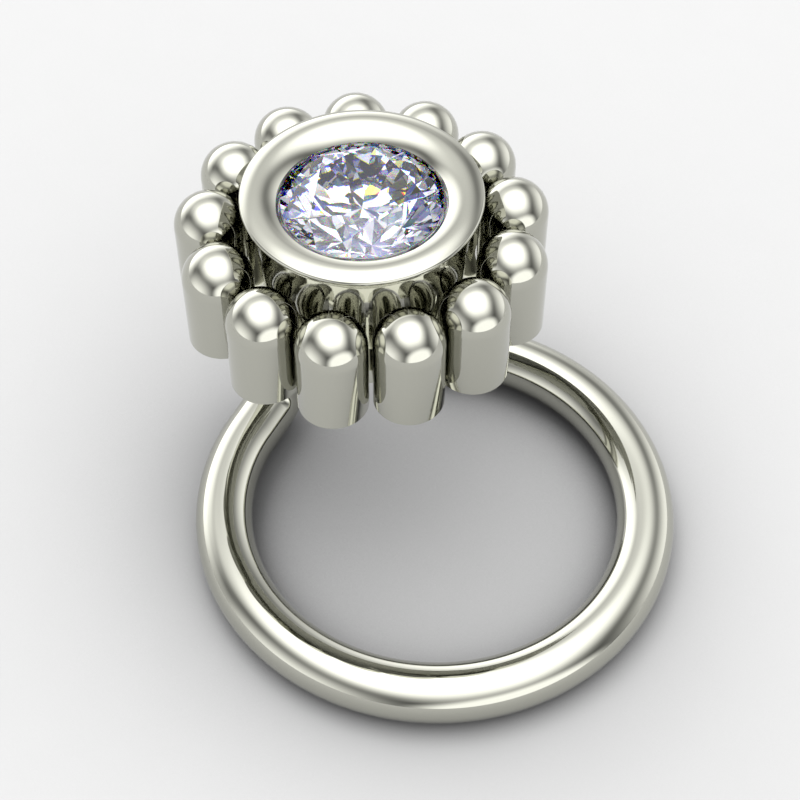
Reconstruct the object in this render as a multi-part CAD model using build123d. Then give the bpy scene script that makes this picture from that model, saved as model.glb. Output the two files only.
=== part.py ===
"""Nose pin: a post whose lower end is bent into a flat round hoop, with a flower head on top of the post.

The hoop lies flat, with its centre at the origin and its axis on Z. Its wire leaves the circle behind the
head, bends up and carries the head over the hoop. Petals are round posts with domed tops, set side by side
round a tapered cup whose rolled rim holds a round brilliant-cut stone. Sizes are in millimetres and degrees.
"""
from build123d import *
import os
from math import acos, cos, degrees, pi, radians, sin, tan

# Wire: it runs round the hoop's circle, leaves it on a short straight run and bends up into the post
hoop_inner_diameter = 6.45
wire_diameter = 1.0
free_end_angle = 80.0        # where the wire starts on the circle, from +X towards +Y
free_end_round = 0.3
leave_angle = 138.0          # where it leaves the circle
straight_run = 1.1           # from there to the axis of the post
bend_radius = 0.54
pad_diameter = 1.5           # round pad on top of the post, soldered under the head
pad_thickness = 0.3

# Place of the head: its axis beside the hoop's, and its underside above the middle of the wire
head_x = -0.84
head_y = 1.475
head_height = 4.49

# Petals
petal_count = 13
petal_diameter = 1.106
petal_gap = 0.051            # between neighbours, at their widest
petal_shaft = 1.258          # straight part of a post, under its domed top
petal_turn = 2.2             # turn of the whole ring of petals about the head's axis

# Cup that holds the stone, on the plate that reaches between the petals
base_thickness = 0.3
base_reach_into_petals = 0.17
wall_top_diameter = 3.467
wall_foot_diameter = 3.195
rim_diameter = 3.807
rim_edge_height = 2.087      # rim's outer edge above the underside of the head
rim_drop_to_lip = 0.102
rim_bulge = 0.136
rim_edge_round = 0.048
rim_underside_drop = 0.245
lip_overhang = 0.06          # how far the lip reaches in over the edge of the bore
stone_drop = 0.1             # stone's girdle under the lip of the rim
seat_ledge = 0.285           # width of the ledge that carries the stone

# Round brilliant stone, with its proportions as shares of its diameter
stone_diameter = 2.583
table_share = 0.57
girdle_share = 0.03
star_share = 0.5             # how far the star facets reach from the table towards the girdle
lower_half_share = 0.77      # how far the lower halves reach from the girdle towards the point
crown_angle = 34.5
pavilion_angle = 40.9
facet_count = 8

# Clearances between pieces
solder_gap = 0.02
petal_clearance = 0.025
stone_clearance = 0.025

wire_radius = wire_diameter / 2
hoop_radius = hoop_inner_diameter / 2 + wire_radius
petal_radius = petal_diameter / 2
petal_circle = (petal_diameter + petal_gap) / (2 * sin(pi / petal_count))
petal_angles = [270 + petal_turn + index * 360 / petal_count for index in range(petal_count)]
stone_radius = stone_diameter / 2
bore_radius = stone_radius + stone_clearance
lip_height = head_height + rim_edge_height - rim_drop_to_lip
girdle_top = lip_height - stone_drop
girdle = girdle_share * stone_diameter
ledge_height = girdle_top - girdle - stone_clearance
facet_step = 2 * pi / facet_count


def head_place(angle=0.0, radius=0.0, height=0.0):
    """Point at an angle and radius round the head's axis."""
    return Vector(head_x + radius * cos(radians(angle)), head_y + radius * sin(radians(angle)), height)


def circle_place(angle):
    """Point on the hoop's circle, and the direction in which the wire runs there, as it goes round to +Z."""
    x, y = cos(radians(angle)), sin(radians(angle))
    return Vector(hoop_radius * x, hoop_radius * y, 0), Vector(-y, x, 0)


def hoop_circle():
    """Round part of the hoop, from where the wire leaves it all the way round to the rounded free end."""
    start, along = circle_place(leave_angle)
    section = Plane(origin=start, x_dir=start, z_dir=along) * Circle(wire_radius)
    circle = revolve(section, Axis.Z, 360 + free_end_angle - leave_angle)
    tip = circle_place(free_end_angle)[0]
    end_face = circle.faces().filter_by(GeomType.PLANE).sort_by_distance(tip)[0]
    return fillet(end_face.edges(), free_end_round)


def pin_wire():
    """Hoop, straight run, bend, post and the pad under the head, as one bent and soldered solid."""
    start, along = circle_place(leave_angle)
    along = along * -1
    axis = start + along * straight_run
    bend_start = axis - along * bend_radius
    run = Solid.make_cylinder(wire_radius, straight_run - bend_radius, Plane(origin=start, z_dir=along))
    section = Plane(origin=bend_start, z_dir=along) * Circle(wire_radius)
    turn_axis = Axis(bend_start + Vector(0, 0, bend_radius), along.cross(Vector(0, 0, 1)))
    bend = revolve(section, turn_axis, 90)
    top = head_height - solder_gap
    post = Solid.make_cylinder(wire_radius, top - bend_radius, Plane(axis + Vector(0, 0, bend_radius)))
    pad_foot = axis + Vector(0, 0, top - pad_thickness)
    pad = Solid.make_cylinder(pad_diameter / 2, pad_thickness, Plane(pad_foot))
    return hoop_circle() + run + bend + post + pad


def petal(angle):
    """One round post with a domed top."""
    foot = head_place(angle, petal_circle, head_height)
    post = Solid.make_cylinder(petal_radius, petal_shaft, Plane(foot))
    dome = Solid.make_sphere(petal_radius, Plane(foot + Vector(0, 0, petal_shaft)), 0, 90, 360)
    return post + dome


def cup_profile():
    """Half section of the cup, with X as the radius and Y as the height."""
    edge = (rim_diameter / 2, head_height + rim_edge_height)
    lip = (bore_radius - lip_overhang, lip_height)
    middle = ((edge[0] + lip[0]) / 2, (edge[1] + lip[1]) / 2 + rim_bulge)
    wall_top = (wall_top_diameter / 2, edge[1] - rim_underside_drop)
    plate_top = head_height + base_thickness
    wall_foot = (wall_foot_diameter / 2, plate_top)
    ledge_end = (bore_radius - seat_ledge, ledge_height - seat_ledge * tan(radians(pavilion_angle)))
    with BuildSketch() as sketch:
        with BuildLine():
            ThreePointArc(lip, middle, edge)
            Polyline(edge, wall_top, wall_foot, (wall_foot[0], head_height), (0, head_height),
                     (0, plate_top), (ledge_end[0], plate_top), ledge_end, (bore_radius, ledge_height),
                     (bore_radius, girdle_top + stone_clearance), lip)
        make_face()
        fillet(sketch.vertices().sort_by_distance(edge)[0], rim_edge_round)
    return sketch.sketch


def base_plate():
    """Round plate that reaches between the petals, notched to clear each post."""
    middle = head_height + base_thickness / 2
    plate_radius = petal_circle - petal_radius + base_reach_into_petals
    plate = Pos(*head_place(0, 0, middle)) * Cylinder(plate_radius, base_thickness)
    for angle in petal_angles:
        notch = Cylinder(petal_radius + petal_clearance, 2 * base_thickness)
        plate -= Pos(*head_place(angle, petal_circle, middle)) * notch
    return plate


def bezel_cup():
    """Tapered cup with its rolled rim and the plate under it, as one solid."""
    body = revolve(Plane.XZ * cup_profile(), Axis.Z)
    return Pos(*head_place()) * body + base_plate()


def spot(angle, radius, height):
    """Point at an angle in radians round the stone's axis."""
    return Vector(radius * cos(angle), radius * sin(angle), height)


def facet_plane(first, second, third):
    """Plane through three points of a facet, with its normal away from the middle of the girdle."""
    normal = (second - first).cross(third - first)
    if normal.dot(Vector(0, 0, -girdle / 2) - first) > 0:
        normal = normal * -1
    return Plane(origin=first, z_dir=normal)


def side_planes(sense, rim_height, slope, tip_radius):
    """Main and half facets on one side of the girdle; sense is 1 for the crown, -1 for the pavilion.

    Two neighbouring main facets meet on a ridge, and the half facets run from the girdle to a tip on it.
    """
    rise = sense * tan(radians(slope))
    planes = []
    for index in range(facet_count):
        angle = index * facet_step
        half = angle + facet_step / 2
        corner = spot(angle, stone_radius, rim_height)
        peak = Vector(0, 0, rim_height + rise * stone_radius)
        tip = spot(half, tip_radius, rim_height + rise * (stone_radius - tip_radius * cos(facet_step / 2)))
        planes.append(facet_plane(corner, corner + Vector(-sin(angle), cos(angle), 0), peak))
        middle = spot(half, stone_radius, rim_height)
        for end in (angle, angle + facet_step):
            planes.append(facet_plane(spot(end, stone_radius, rim_height), middle, tip))
    return planes


def star_planes(table_height, table_corner, star_tip_radius):
    """Small facets round the table, each on two of its corners and a tip on the ridge below."""
    slope = tan(radians(crown_angle))
    planes = []
    for index in range(facet_count):
        angle = index * facet_step
        half = angle + facet_step / 2
        tip = spot(half, star_tip_radius, slope * (stone_radius - star_tip_radius * cos(facet_step / 2)))
        corners = [spot(end, table_corner, table_height) for end in (angle, angle + facet_step)]
        planes.append(facet_plane(*corners, tip))
    return planes


def stone():
    """Round brilliant cut from a blank by its facet planes, its girdle's top on z = 0 until it is set."""
    table_corner = table_share * stone_radius
    table_height = (stone_radius - table_corner) * tan(radians(crown_angle))
    table_middle = table_corner * cos(facet_step / 2)
    star_tip_radius = table_middle + star_share * (stone_radius - table_middle)
    planes = [Plane(origin=(0, 0, table_height), z_dir=(0, 0, 1))]
    planes += star_planes(table_height, table_corner, star_tip_radius)
    planes += side_planes(1, 0, crown_angle, star_tip_radius)
    planes += side_planes(-1, -girdle, pavilion_angle, (1 - lower_half_share) * stone_radius)
    blank = Cylinder(stone_radius, 2 * stone_diameter)
    for plane in planes:
        blank = split(blank, bisect_by=plane, keep=Keep.BOTTOM)
    return Pos(*head_place(0, 0, girdle_top)) * blank


pieces = {"pin_wire": pin_wire(), "bezel_cup": bezel_cup(), "stone": stone()}
for number, petal_angle in enumerate(petal_angles, start=1):
    pieces[f"petal_{number:02d}"] = petal(petal_angle)

os.makedirs("parts", exist_ok=True)
for node, piece in pieces.items():
    export_step(piece, f"parts/{node}.step")
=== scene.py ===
"""Nose pin of mirror-polished white gold with a brilliant-cut stone, on a pale floor in soft studio light.

The frame is the pin's own: the hoop lies flat with its centre at the origin, and a post that rises from it
carries the flower head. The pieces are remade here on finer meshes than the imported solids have, because a
mirror shows every facet of a coarse one. Sizes are in millimetres until a mesh is finished, and in metres
after that.
"""
from math import acos, atan2, cos, pi, radians, sin, sqrt, tan

import bmesh
import bpy
from mathutils import Matrix, Vector


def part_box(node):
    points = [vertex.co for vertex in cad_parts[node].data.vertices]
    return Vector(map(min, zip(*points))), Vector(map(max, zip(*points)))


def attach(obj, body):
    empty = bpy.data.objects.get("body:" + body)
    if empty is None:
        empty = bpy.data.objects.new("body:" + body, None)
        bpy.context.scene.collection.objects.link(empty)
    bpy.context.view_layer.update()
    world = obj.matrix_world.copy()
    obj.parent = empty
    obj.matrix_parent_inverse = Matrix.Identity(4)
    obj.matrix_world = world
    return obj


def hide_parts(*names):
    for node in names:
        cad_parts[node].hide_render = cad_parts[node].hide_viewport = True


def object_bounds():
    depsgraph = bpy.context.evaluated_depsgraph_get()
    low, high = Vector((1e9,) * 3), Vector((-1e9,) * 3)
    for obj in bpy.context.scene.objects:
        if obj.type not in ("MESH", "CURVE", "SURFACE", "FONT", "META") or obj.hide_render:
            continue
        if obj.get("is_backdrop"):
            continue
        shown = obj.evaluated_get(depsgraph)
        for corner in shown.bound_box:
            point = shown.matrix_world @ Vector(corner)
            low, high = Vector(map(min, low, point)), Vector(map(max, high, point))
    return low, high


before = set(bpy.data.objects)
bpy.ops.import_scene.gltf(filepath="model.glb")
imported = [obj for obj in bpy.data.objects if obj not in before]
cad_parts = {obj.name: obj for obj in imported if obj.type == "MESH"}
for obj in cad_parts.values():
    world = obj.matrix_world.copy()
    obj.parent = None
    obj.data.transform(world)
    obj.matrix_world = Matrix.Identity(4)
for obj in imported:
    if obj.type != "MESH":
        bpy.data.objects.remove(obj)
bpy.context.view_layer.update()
MM = 0.001

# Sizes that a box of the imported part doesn't give, as in the part's source
free_end_angle = 80.0
free_end_round = 0.3
leave_angle = 138.0
straight_run = 1.1
bend_radius = 0.54
pad_diameter = 1.5
pad_thickness = 0.3
base_thickness = 0.3
base_reach_into_petals = 0.17
petal_clearance = 0.025
wall_top_diameter = 3.467
wall_foot_diameter = 3.195
rim_diameter = 3.807
rim_edge_height = 2.087
rim_drop_to_lip = 0.102
rim_bulge = 0.136
rim_edge_round = 0.048
rim_underside_drop = 0.245
lip_overhang = 0.06
stone_drop = 0.1
seat_ledge = 0.285
stone_clearance = 0.025
table_share = 0.57
girdle_share = 0.03
star_share = 0.5
lower_half_share = 0.77
crown_angle = 34.5
pavilion_angle = 40.9
facet_count = 8

# Fineness of the meshes
wire_steps = 96
arc_steps = 400
bend_steps = 40
round_steps = 10
dome_steps = 28
petal_steps = 112
rim_steps = 40
notch_steps = 20
land_steps = 4
sharp_angle = radians(30)
stone_steps = 160
same_point = 1e-5

# Metal: its tint and its roughness, each between two values that a faint cloud blends
metal_tints = ((0.444, 0.444, 0.391, 1), (0.460, 0.460, 0.405, 1))
metal_roughness = (0.03, 0.07)

# Stone: a glass for each colour that enters it, with its bend, and the one glass inside it. Lower facets,
# whose normals point down by more than the share given, send back the share of light given.
entry_glasses = (((0.62, 0, 0, 1), 2.405), ((0, 0.63, 0, 1), 2.41), ((0, 0, 0.70, 1), 2.44))
inner_glass = ((1, 1, 1, 1), 2.42)
mirror_share = 0.97
mirror_normal = 0.2


def box_mm(node):
    """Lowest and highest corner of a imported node, in millimetres."""
    low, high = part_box(node)
    return low / MM, high / MM


def polar(angle, radius, height=0.0):
    """Point at an angle in radians and a radius round the Z axis."""
    return Vector((radius * cos(angle), radius * sin(angle), height))


def finish_mesh(name, vertices, faces, material, sharp=sharp_angle):
    """Object from vertices in millimetres, smooth but for edges over an angle, riding on the one body."""
    mesh = bpy.data.meshes.new(name)
    mesh.from_pydata([tuple(v * MM) for v in vertices], [], faces)
    mesh.validate()
    bm = bmesh.new()
    bm.from_mesh(mesh)
    bmesh.ops.recalc_face_normals(bm, faces=bm.faces)
    bm.to_mesh(mesh)
    bm.free()
    mesh.polygons.foreach_set("use_smooth", [True] * len(mesh.polygons))
    mesh.set_sharp_from_angle(angle=sharp)
    mesh.materials.append(material)
    piece = bpy.data.objects.new(name, mesh)
    bpy.context.scene.collection.objects.link(piece)
    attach(piece, "root")
    return piece


def skin(rings, first_pole, last_pole):
    """Vertices and faces of a closed skin over rings of equally many points, with a pole at either end."""
    count = len(rings[0])
    vertices = [point for ring in rings for point in ring]
    faces = []
    for start in range(0, (len(rings) - 1) * count, count):
        for k in range(count):
            after = (k + 1) % count
            faces.append((start + k, start + after, start + count + after, start + count + k))
    for pole, start in ((first_pole, 0), (last_pole, (len(rings) - 1) * count)):
        for k in range(count):
            faces.append((len(vertices), start + k, start + (k + 1) % count))
        vertices.append(pole)
    return vertices, faces


def turned(section, angles, centre):
    """Skin of a turned form, from pairs of radius and height. A radius may be a list by angle."""
    rings = []
    for radius, height in section:
        radii = radius if isinstance(radius, list) else [radius] * len(angles)
        rings.append([centre + polar(angle, r, height) for angle, r in zip(angles, radii)])
    return skin(rings, centre + Vector((0, 0, section[0][1])), centre + Vector((0, 0, section[-1][1])))


def even_angles(count):
    """Angles in radians that share out a turn."""
    return [2 * pi * k / count for k in range(count)]


def fillet_corner(before, corner, after, radius, steps):
    """Points of a small arc that rounds a corner of a section."""
    a = (Vector(before) - Vector(corner)).normalized()
    b = (Vector(after) - Vector(corner)).normalized()
    half = a.angle(b) / 2
    middle = Vector(corner) + (a + b).normalized() * radius / sin(half)
    start = Vector(corner) + a * radius / tan(half) - middle
    end = Vector(corner) + b * radius / tan(half) - middle
    turn = start.angle_signed(end)
    return [middle + Matrix.Rotation(-turn * k / steps, 2) @ start for k in range(steps + 1)]


def arc_through(start, middle, end, steps):
    """Points of the circle through three points of a section."""
    (ax, ay), (bx, by), (cx, cy) = start, middle, end
    d = 2 * (ax * (by - cy) + bx * (cy - ay) + cx * (ay - by))
    a2, b2, c2 = ax * ax + ay * ay, bx * bx + by * by, cx * cx + cy * cy
    centre = Vector(((a2 * (by - cy) + b2 * (cy - ay) + c2 * (ay - by)) / d,
                     (a2 * (cx - bx) + b2 * (ax - cx) + c2 * (bx - ax)) / d))
    first = Vector(start) - centre
    turn = first.angle_signed(Vector(end) - centre)
    return [centre + Matrix.Rotation(-turn * k / steps, 2) @ first for k in range(steps + 1)]


# Places of the head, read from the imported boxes
petal_nodes = sorted(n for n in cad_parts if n.startswith("petal_"))
stone_low, stone_high = box_mm("stone")
head_centre = Vector(((stone_low.x + stone_high.x) / 2, (stone_low.y + stone_high.y) / 2, 0))
stone_radius = (stone_high.x - stone_low.x) / 2
petal_low, petal_high = box_mm(petal_nodes[0])
petal_radius = (petal_high.x - petal_low.x) / 2
head_bottom = petal_low.z
first_petal = (petal_low + petal_high) / 2 - head_centre
petal_circle = sqrt(first_petal.x ** 2 + first_petal.y ** 2)
petal_start = atan2(first_petal.y, first_petal.x)
wire_low, wire_high = box_mm("pin_wire")
wire_radius = -wire_low.z
hoop_radius = wire_high.x - wire_radius
lip_height = head_bottom + rim_edge_height - rim_drop_to_lip
girdle = girdle_share * 2 * stone_radius
girdle_top = lip_height - stone_drop
bore_radius = stone_radius + stone_clearance


def link(tree, source, target):
    """Joins an output socket to an input socket."""
    tree.links.new(source, target)


def math_node(tree, operation, first, second=None, third=None):
    """Adds a Math node whose inputs are sockets or numbers, and returns its output."""
    node = tree.nodes.new("ShaderNodeMath")
    node.operation = operation
    for socket, value in zip(node.inputs, (first, second, third)):
        if isinstance(value, bpy.types.NodeSocket):
            link(tree, value, socket)
        elif value is not None:
            socket.default_value = value
    return node.outputs[0]


def polished_gold():
    """Mirror-polished warm white gold, with faint polishing marks and slightly uneven gloss."""
    material = bpy.data.materials.new("polished_white_gold")
    material.use_nodes = True
    tree = material.node_tree
    shader = tree.nodes["Principled BSDF"]
    shader.inputs["Metallic"].default_value = 1.0
    place = tree.nodes.new("ShaderNodeTexCoord")
    cloud = tree.nodes.new("ShaderNodeTexNoise")
    cloud.inputs["Scale"].default_value = 350.0
    cloud.inputs["Detail"].default_value = 3.0
    link(tree, place.outputs["Object"], cloud.inputs["Vector"])
    tint = tree.nodes.new("ShaderNodeMix")
    tint.data_type = "RGBA"
    tint.inputs["A"].default_value, tint.inputs["B"].default_value = metal_tints
    link(tree, cloud.outputs["Fac"], tint.inputs["Factor"])
    link(tree, tint.outputs["Result"], shader.inputs["Base Color"])
    gloss = tree.nodes.new("ShaderNodeMapRange")
    gloss.inputs["To Min"].default_value, gloss.inputs["To Max"].default_value = metal_roughness
    link(tree, cloud.outputs["Fac"], gloss.inputs["Value"])
    link(tree, gloss.outputs["Result"], shader.inputs["Roughness"])
    return material


def cut_stone():
    """Clear stone that splits light as it enters, with a glass each for red, green and blue."""
    material = bpy.data.materials.new("brilliant_stone")
    material.use_nodes = True
    tree = material.node_tree
    tree.nodes.remove(tree.nodes["Principled BSDF"])
    glasses = []
    for colour, bend in (*entry_glasses, inner_glass):
        glass = tree.nodes.new("ShaderNodeBsdfGlass")
        glass.distribution = "GGX"
        glass.inputs["Roughness"].default_value = 0.0
        glass.inputs["Color"].default_value = colour
        glass.inputs["IOR"].default_value = bend
        glasses.append(glass)
    first = tree.nodes.new("ShaderNodeAddShader")
    second = tree.nodes.new("ShaderNodeAddShader")
    link(tree, glasses[0].outputs[0], first.inputs[0])
    link(tree, glasses[1].outputs[0], first.inputs[1])
    link(tree, first.outputs[0], second.inputs[0])
    link(tree, glasses[2].outputs[0], second.inputs[1])
    # inside the stone one glass serves all colours, since each ray carries its own by then, and the facets
    # that face down send nearly all light back, as in a stone with a mirrored back
    side = tree.nodes.new("ShaderNodeNewGeometry")
    parts = tree.nodes.new("ShaderNodeSeparateXYZ")
    link(tree, side.outputs["True Normal"], parts.inputs[0])
    mirror = tree.nodes.new("ShaderNodeBsdfAnisotropic")
    mirror.inputs["Color"].default_value = (mirror_share,) * 3 + (1,)
    mirror.inputs["Roughness"].default_value = 0.0
    inner = tree.nodes.new("ShaderNodeMixShader")
    link(tree, math_node(tree, "GREATER_THAN", parts.outputs["Z"], mirror_normal), inner.inputs[0])
    link(tree, glasses[3].outputs[0], inner.inputs[1])
    link(tree, mirror.outputs[0], inner.inputs[2])
    chosen = tree.nodes.new("ShaderNodeMixShader")
    link(tree, side.outputs["Backfacing"], chosen.inputs[0])
    link(tree, second.outputs[0], chosen.inputs[1])
    link(tree, inner.outputs[0], chosen.inputs[2])
    link(tree, chosen.outputs[0], tree.nodes["Material Output"].inputs["Surface"])
    return material


def petal_piece(node, material):
    """Round post with a domed top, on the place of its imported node."""
    low, high = box_mm(node)
    centre = Vector(((low.x + high.x) / 2, (low.y + high.y) / 2, 0))
    equator = high.z - petal_radius
    rings = [(petal_radius * 0.5, low.z), (petal_radius, low.z), (petal_radius, (low.z + equator) / 2)]
    for k in range(dome_steps):
        rise = pi / 2 * k / dome_steps
        rings.append((petal_radius * cos(rise), equator + petal_radius * sin(rise)))
    vertices, faces = turned(rings, even_angles(petal_steps), centre)
    piece = finish_mesh(node + "_fine", vertices, faces, material)
    # the top ring is tiny, so its pole closes it at the full height
    piece.data.vertices[len(vertices) - 1].co.z = high.z * MM
    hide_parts(node)


def plate_angles():
    """Angles at which the cup is divided: round each petal's notch, and across the land to the next."""
    plate_radius = petal_circle - petal_radius + base_reach_into_petals
    notch = petal_radius + petal_clearance
    half = acos((plate_radius ** 2 + petal_circle ** 2 - notch ** 2) / (2 * plate_radius * petal_circle))
    period = 2 * pi / len(petal_nodes)
    angles = []
    radii = []
    for index in range(len(petal_nodes)):
        middle = petal_start + index * period
        for k in range(notch_steps):
            offset = -half + 2 * half * k / notch_steps
            angles.append(middle + offset)
            reach = petal_circle * cos(offset) - sqrt(notch ** 2 - (petal_circle * sin(offset)) ** 2)
            radii.append(reach)
        for k in range(land_steps):
            angles.append(middle + half + (period - 2 * half) * k / land_steps)
            radii.append(plate_radius)
    return angles, radii


def cup_piece(material):
    """Tapered cup with its rolled rim, and the notched plate that reaches between the petals."""
    edge = (rim_diameter / 2, head_bottom + rim_edge_height)
    lip = (bore_radius - lip_overhang, lip_height)
    middle = ((edge[0] + lip[0]) / 2, (edge[1] + lip[1]) / 2 + rim_bulge)
    wall_top = (wall_top_diameter / 2, edge[1] - rim_underside_drop)
    plate_top = head_bottom + base_thickness
    wall_foot = (wall_foot_diameter / 2, plate_top)
    ledge_height = girdle_top - girdle - stone_clearance
    ledge_end = (bore_radius - seat_ledge, ledge_height - seat_ledge * tan(radians(pavilion_angle)))
    roll = arc_through(lip, middle, edge, rim_steps)
    rounded = fillet_corner(roll[-3], edge, wall_top, rim_edge_round, 8)
    near_edge = (Vector(edge) - rounded[0]).length
    roll = [p for p in roll if (p - Vector(edge)).length > near_edge * 1.05]
    angles, radii = plate_angles()
    section = [(ledge_end[0] * 0.5, plate_top), (ledge_end[0], plate_top)]
    section += [ledge_end, (bore_radius, ledge_height), (bore_radius, girdle_top + stone_clearance)]
    section += [tuple(p) for p in roll + rounded]
    section += [wall_top, tuple((Vector(wall_top) + Vector(wall_foot)) / 2), wall_foot]
    rings = section + [(radii, plate_top), (radii, head_bottom), (wall_foot[0], head_bottom)]
    vertices, faces = turned(rings, angles, head_centre)
    piece = finish_mesh("bezel_cup_fine", vertices, faces, material)
    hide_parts("bezel_cup")


def wire_rings():
    """Sections of the wire from its free end to the pad, each as centre, direction, side and radius."""
    rings = []
    up = Vector((0, 0, 1))
    sweep = radians(360 + free_end_angle - leave_angle)
    for k in range(round_steps):
        turn = pi / 2 * k / round_steps
        angle = radians(free_end_angle) - free_end_round * (1 - cos(turn)) / hoop_radius
        radius = wire_radius - free_end_round * (1 - sin(turn))
        rings.append((polar(angle, hoop_radius), Vector((sin(angle), -cos(angle), 0)), radius))
    passed = free_end_round / hoop_radius
    for k in range(arc_steps + 1):
        angle = radians(free_end_angle) - passed - (sweep - passed) * k / arc_steps
        rings.append((polar(angle, hoop_radius), Vector((sin(angle), -cos(angle), 0)), wire_radius))
    start, along, _ = rings[-1]
    side = along.cross(up)
    rings = [(centre, direction, direction.cross(up), radius) for centre, direction, radius in rings]
    axis = start + along * straight_run
    for k in range(bend_steps + 1):
        turn = pi / 2 * k / bend_steps
        centre = axis + bend_radius * ((sin(turn) - 1) * along + (1 - cos(turn)) * up)
        rings.append((centre, cos(turn) * along + sin(turn) * up, side, wire_radius))
    top = wire_high.z
    for height, radius in ((top - pad_thickness, wire_radius), (top - pad_thickness, pad_diameter / 2),
                           (top, pad_diameter / 2), (top, pad_diameter / 4)):
        rings.append((axis + height * up, up, side, radius))
    return rings


def wire_piece(material):
    """Hoop, straight run, bend, post and the pad under the head, as one swept form."""
    sections = wire_rings()
    angles = even_angles(wire_steps)
    rings = []
    for centre, direction, side, radius in sections:
        other = side.cross(direction)
        rings.append([centre + radius * (cos(angle) * side + sin(angle) * other) for angle in angles])
    vertices, faces = skin(rings, sections[0][0], sections[-1][0])
    wire = finish_mesh("pin_wire_fine", vertices, faces, material)
    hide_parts("pin_wire")


def facet_plane(first, second, third):
    """A point and outward normal of a facet through three points."""
    normal = (second - first).cross(third - first).normalized()
    if normal.dot(Vector((0, 0, -girdle / 2)) - first) > 0:
        normal = -normal
    return first, normal


def side_planes(sense, rim_height, slope, tip_radius):
    """Main and half facets on one side of the girdle; sense is 1 for the crown, -1 for the pavilion."""
    step = 2 * pi / facet_count
    rise = sense * tan(radians(slope))
    planes = []
    for index in range(facet_count):
        angle = index * step
        half = angle + step / 2
        corner = polar(angle, stone_radius, rim_height)
        peak = Vector((0, 0, rim_height + rise * stone_radius))
        tip = polar(half, tip_radius, rim_height + rise * (stone_radius - tip_radius * cos(step / 2)))
        planes.append(facet_plane(corner, corner + Vector((-sin(angle), cos(angle), 0)), peak))
        middle = polar(half, stone_radius, rim_height)
        for end in (angle, angle + step):
            planes.append(facet_plane(polar(end, stone_radius, rim_height), middle, tip))
    return planes


def stone_piece(material):
    """Round brilliant, cut from a round blank by its facet planes."""
    step = 2 * pi / facet_count
    table_corner = table_share * stone_radius
    table_height = (stone_radius - table_corner) * tan(radians(crown_angle))
    table_middle = table_corner * cos(step / 2)
    star_tip = table_middle + star_share * (stone_radius - table_middle)
    planes = [(Vector((0, 0, table_height)), Vector((0, 0, 1)))]
    for index in range(facet_count):
        half = (index + 0.5) * step
        tip = polar(half, star_tip, (stone_radius - star_tip * cos(step / 2)) * tan(radians(crown_angle)))
        corners = [polar(end * step, table_corner, table_height) for end in (index, index + 1)]
        planes.append(facet_plane(*corners, tip))
    planes += side_planes(1, 0, crown_angle, star_tip)
    planes += side_planes(-1, -girdle, pavilion_angle, (1 - lower_half_share) * stone_radius)
    bm = bmesh.new()
    bmesh.ops.create_cone(bm, cap_ends=True, segments=stone_steps, radius1=stone_radius,
                          radius2=stone_radius, depth=4 * stone_radius)
    for point, normal in planes:
        whole = bm.verts[:] + bm.edges[:] + bm.faces[:]
        cut = bmesh.ops.bisect_plane(bm, geom=whole, dist=1e-6, plane_co=point, plane_no=normal,
                                     clear_outer=True)
        rim = [e for e in cut["geom_cut"] if isinstance(e, bmesh.types.BMEdge)]
        if rim:
            bmesh.ops.contextual_create(bm, geom=rim)
    bmesh.ops.remove_doubles(bm, verts=bm.verts, dist=same_point)
    bm.verts.index_update()
    place = head_centre + Vector((0, 0, girdle_top))
    vertices = [v.co + place for v in bm.verts]
    faces = [tuple(v.index for v in f.verts) for f in bm.faces]
    bm.free()
    piece = finish_mesh("stone_fine", vertices, faces, material, sharp=radians(1))
    piece.data.polygons.foreach_set("use_smooth", [False] * len(piece.data.polygons))
    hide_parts("stone")


# Soft lights of the studio, as rounded panels on the sky: where each is and how far it reaches, in degrees,
# the share of that reach at full strength, and its strength. Azimuth runs from +X to +Y. The sky leans.
lights = (
    # azimuth, elevation, half width, half height, full share, strength
    (284.0, 2.8, 44.8, 36.9, 0.54, 0.90),      # front panel
    (105.6, -2.3, 62.2, 37.8, 0.32, 1.19),     # back panel
    (12.9, -4.9, 55.4, 52.2, 0.10, 0.72),      # right, dim
    (198.8, -10.3, 54.0, 59.3, 0.05, 0.81),    # left, dim
    (281.0, 44.9, 74.6, 24.5, 0.16, 0.36),     # haze over the front panel
    (104.9, 30.2, 66.4, 18.0, 0.20, 0.37),     # haze over the back panel
)
sky_lean = -8.6
panel_roundness = 2.42     # power of the rounded outline; 2 is an oval
top_roundness = 2.46
top_turn = 5.0
top_offset = (-0.5, 4.6)   # from straight overhead, along the turned X and Y
top_reach = (57.3, 56.3)
top_full = 0.36
top_strength = 1.25
sky_base = 0.09
sky_edge = -5.3            # elevation of the edge of the plain grey lower half
under_grey = 0.43
metal_share = 0.45         # the strengths above are as the metal mirrors them


def soft_step(tree, value, outside, inside):
    """0 where value is beyond outside, 1 where it is within inside, and smooth between."""
    node = tree.nodes.new("ShaderNodeMapRange")
    node.interpolation_type = "SMOOTHSTEP"
    node.inputs["From Min"].default_value = inside
    node.inputs["From Max"].default_value = outside
    node.inputs["To Min"].default_value = 1.0
    node.inputs["To Max"].default_value = 0.0
    link(tree, value, node.inputs["Value"])
    return node.outputs["Result"]


def rounded_reach(tree, across, upward, half_width, half_height, power):
    """How far out a place lies in a rounded panel: 0 at its middle and 1 on its edge."""
    total = 0.0
    for offset, half in ((across, half_width), (upward, half_height)):
        share = math_node(tree, "ABSOLUTE", math_node(tree, "DIVIDE", offset, radians(half)))
        total = math_node(tree, "ADD", math_node(tree, "POWER", share, power), total)
    return math_node(tree, "POWER", total, 1 / power)


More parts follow.
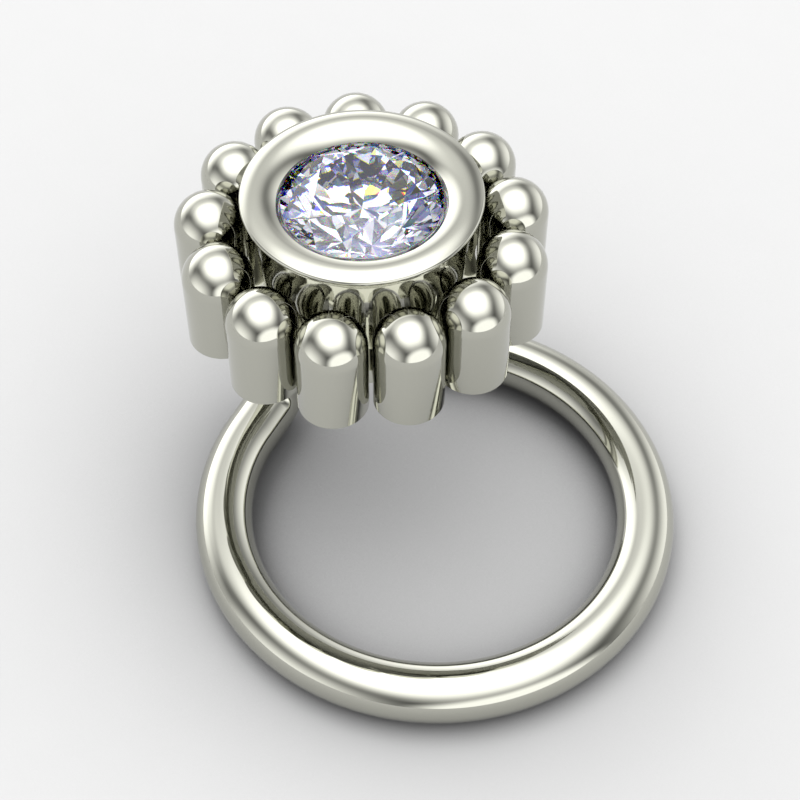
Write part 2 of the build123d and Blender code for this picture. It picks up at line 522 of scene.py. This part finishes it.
def turned_sky(tree, place, azimuth):
    """X and Y of a direction on the sky, turned so that an azimuth comes to +X."""
    turn = tree.nodes.new("ShaderNodeVectorRotate")
    turn.rotation_type = "Z_AXIS"
    turn.inputs["Angle"].default_value = -radians(azimuth)
    link(tree, place, turn.inputs["Vector"])
    seen = tree.nodes.new("ShaderNodeSeparateXYZ")
    link(tree, turn.outputs[0], seen.inputs[0])
    return math_node(tree, "ARCTAN2", seen.outputs["Y"], seen.outputs["X"])


def studio_sky():
    """World with a soft light overhead, panels of light round the horizon and a plain grey lower half."""
    world = bpy.data.worlds.new("studio")
    bpy.context.scene.world = world
    world.use_nodes = True
    tree = world.node_tree
    lean = tree.nodes.new("ShaderNodeVectorRotate")
    lean.rotation_type = "X_AXIS"
    lean.inputs["Angle"].default_value = radians(sky_lean)
    link(tree, tree.nodes.new("ShaderNodeTexCoord").outputs["Generated"], lean.inputs["Vector"])
    place = lean.outputs[0]
    parts = tree.nodes.new("ShaderNodeSeparateXYZ")
    link(tree, place, parts.inputs[0])
    elevation = math_node(tree, "ARCSINE", parts.outputs["Z"])
    zenith = math_node(tree, "SUBTRACT", pi / 2, elevation)
    azimuth = turned_sky(tree, place, top_turn)
    offsets = []
    for operation, offset in (("COSINE", top_offset[0]), ("SINE", top_offset[1])):
        along = math_node(tree, "MULTIPLY", math_node(tree, operation, azimuth), zenith)
        offsets.append(math_node(tree, "SUBTRACT", along, radians(offset)))
    reach = rounded_reach(tree, *offsets, *top_reach, top_roundness)
    total = math_node(tree, "MULTIPLY_ADD", soft_step(tree, reach, 1.0, top_full), top_strength, sky_base)
    for azimuth, height, half_width, half_height, full, strength in lights:
        across = turned_sky(tree, place, azimuth)
        upward = math_node(tree, "SUBTRACT", elevation, radians(height))
        reach = rounded_reach(tree, across, upward, half_width, half_height, panel_roundness)
        total = math_node(tree, "MULTIPLY_ADD", soft_step(tree, reach, 1.0, full), strength, total)
    below = soft_step(tree, elevation, radians(sky_edge + 1), radians(sky_edge - 1))
    shown = math_node(tree, "MULTIPLY", total, math_node(tree, "SUBTRACT", 1.0, below))
    shown = math_node(tree, "MULTIPLY_ADD", below, under_grey, shown)
    shown = math_node(tree, "DIVIDE", shown, metal_share)
    link(tree, shown, tree.nodes["Background"].inputs["Strength"])
    tree.nodes["Background"].inputs["Color"].default_value = (1, 1, 1, 1)
    world.cycles.sampling_method = "MANUAL"
    world.cycles.sample_map_resolution = 1024


# Floor: its shade, the disc that the metal mirrors, the wide disc under it, and how far and how deep the
# shade painted into its colour round the object reaches
floor_shade = 0.535
near_floor_radius = 30.0
wide_floor_radius = 1200.0
wide_floor_drop = 0.01
# reach and depth of the shade painted into the floor's colour round the object
painted_shade_reach = 26.0
painted_shade_depth = 0.82

# Cards that only the stone sees, for its pattern of crisp facets: azimuth, elevation, half width and half
# height in degrees, and colour
cards = (
    (20.0, 62.0, 16.0, 9.0, (0.10, 0.13, 0.60)),
    (75.0, 50.0, 12.0, 14.0, (0.30, 0.32, 0.60)),
    (118.0, 66.0, 14.0, 8.0, (0.12, 0.11, 0.04)),
    (165.0, 45.0, 14.0, 12.0, (0.40, 0.42, 0.85)),
    (205.0, 64.0, 18.0, 8.0, (0.10, 0.24, 0.30)),
    (245.0, 42.0, 12.0, 12.0, (0.10, 0.13, 0.42)),
    (292.0, 60.0, 15.0, 9.0, (0.14, 0.14, 0.06)),
    (335.0, 40.0, 14.0, 12.0, (0.24, 0.26, 0.44)),
    (50.0, 80.0, 30.0, 3.5, (0.38, 0.40, 0.66)),
    (265.0, 82.0, 30.0, 3.0, (0.18, 0.22, 0.70)),
    (140.0, 24.0, 12.0, 8.0, (0.14, 0.14, 0.10)),
    (310.0, 20.0, 12.0, 8.0, (0.10, 0.14, 0.38)),
    (265.0, 20.0, 14.0, 10.0, (0.36, 0.48, 0.78)),
    (75.0, 20.0, 14.0, 10.0, (0.12, 0.12, 0.05)),
    (200.0, 25.0, 14.0, 12.0, (0.42, 0.44, 0.72)),
    (325.0, 65.0, 12.0, 8.0, (0.14, 0.14, 0.06)),
)
card_distance = 90.0


def stone_cards():
    """Matt cards round the studio, seen only through the stone."""
    for number, (azimuth, height, half_width, half_height, colour) in enumerate(cards):
        corners = []
        for across, upward in ((-1, -1), (1, -1), (1, 1), (-1, 1)):
            angle = radians(azimuth + across * half_width)
            rise = radians(height + upward * half_height)
            corner = head_centre + polar(angle, card_distance * cos(rise), card_distance * sin(rise))
            corners.append(tuple(corner * MM))
        mesh = bpy.data.meshes.new(f"card_{number}")
        mesh.from_pydata(corners, [], [(0, 1, 2, 3)])
        material = bpy.data.materials.new(f"card_{number}")
        material.use_nodes = True
        shader = material.node_tree.nodes["Principled BSDF"]
        shader.inputs["Base Color"].default_value = (*colour, 1)
        shader.inputs["Roughness"].default_value = 1.0
        shader.inputs["Specular IOR Level"].default_value = 0.0
        mesh.materials.append(material)
        card = bpy.data.objects.new(f"card_{number}", mesh)
        bpy.context.scene.collection.objects.link(card)
        card.visible_camera = False
        card.visible_diffuse = False
        card.visible_glossy = False
        card.visible_shadow = False
        card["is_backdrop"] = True


def floor_material():
    """Matt and nearly even, in a pale grey, with shade painted into its colour near the object."""
    material = bpy.data.materials.new("pale_floor")
    material.use_nodes = True
    tree = material.node_tree
    shader = tree.nodes["Principled BSDF"]
    shader.inputs["Roughness"].default_value = 0.8
    shader.inputs["Specular IOR Level"].default_value = 0.1
    grain = tree.nodes.new("ShaderNodeTexNoise")
    grain.inputs["Scale"].default_value = 60.0
    tint = tree.nodes.new("ShaderNodeMix")
    tint.data_type = "RGBA"
    tint.inputs["A"].default_value = (floor_shade * 0.99,) * 3 + (1,)
    tint.inputs["B"].default_value = (floor_shade * 1.01,) * 3 + (1,)
    link(tree, grain.outputs["Fac"], tint.inputs["Factor"])
    # painted shade: the floor's colour is darkened near the object, where less grazing light reaches it
    painted_shade_node = tree.nodes.new("ShaderNodeAmbientOcclusion")
    painted_shade_node.samples = 8
    painted_shade_node.inputs["Distance"].default_value = painted_shade_reach * MM
    link(tree, tint.outputs["Result"], painted_shade_node.inputs["Color"])
    # the painted shade is blended into the floor's colour by its depth
    depth = tree.nodes.new("ShaderNodeMix")
    depth.data_type = "RGBA"
    depth.inputs["Factor"].default_value = painted_shade_depth
    link(tree, tint.outputs["Result"], depth.inputs["A"])
    link(tree, painted_shade_node.outputs["Color"], depth.inputs["B"])
    link(tree, depth.outputs["Result"], shader.inputs["Base Color"])
    return material


def floor_disc(name, material, radius, height):
    """One flat disc of floor, at a height in metres."""
    corners = [tuple(polar(angle, radius, height)) for angle in even_angles(96)]
    mesh = bpy.data.meshes.new(name)
    mesh.from_pydata(corners, [], [tuple(range(len(corners)))])
    mesh.materials.append(material)
    disc = bpy.data.objects.new(name, mesh)
    bpy.context.scene.collection.objects.link(disc)
    disc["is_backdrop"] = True
    return disc


def floor_pieces():
    """Plain pale floor with painted shade near the object: a near disc that the metal mirrors, and a wide
    one under it that it doesn't.
    """
    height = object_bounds()[0].z
    material = floor_material()
    floor_disc("near_floor", material, near_floor_radius * MM, height)
    wide = floor_disc("wide_floor", material, wide_floor_radius * MM, height - wide_floor_drop * MM)
    wide.visible_glossy = False


def camera_piece():
    """Camera at the photograph's angle: steep, in front of the hoop and a little to the left."""
    data = bpy.data.cameras.new("camera")
    data.lens = 79.9
    data.sensor_width = 36
    data.clip_start = 0.001
    data.clip_end = 10
    camera = bpy.data.objects.new("camera", data)
    camera.location = Vector((-5.343, -17.460, 25.742)) * MM
    camera.rotation_euler = (radians(38.80), 0, radians(-15.09))
    bpy.context.scene.collection.objects.link(camera)
    bpy.context.scene.camera = camera


gold = polished_gold()
wire_piece(gold)
cup_piece(gold)
for petal_node in petal_nodes:
    petal_piece(petal_node, gold)
stone_piece(cut_stone())
studio_sky()
stone_cards()
floor_pieces()
camera_piece()
scene = bpy.context.scene
scene.view_settings.view_transform = "Standard"
scene.cycles.max_bounces = 24
scene.cycles.glossy_bounces = 10
scene.cycles.transmission_bounces = 24
scene.cycles.caustics_reflective = False
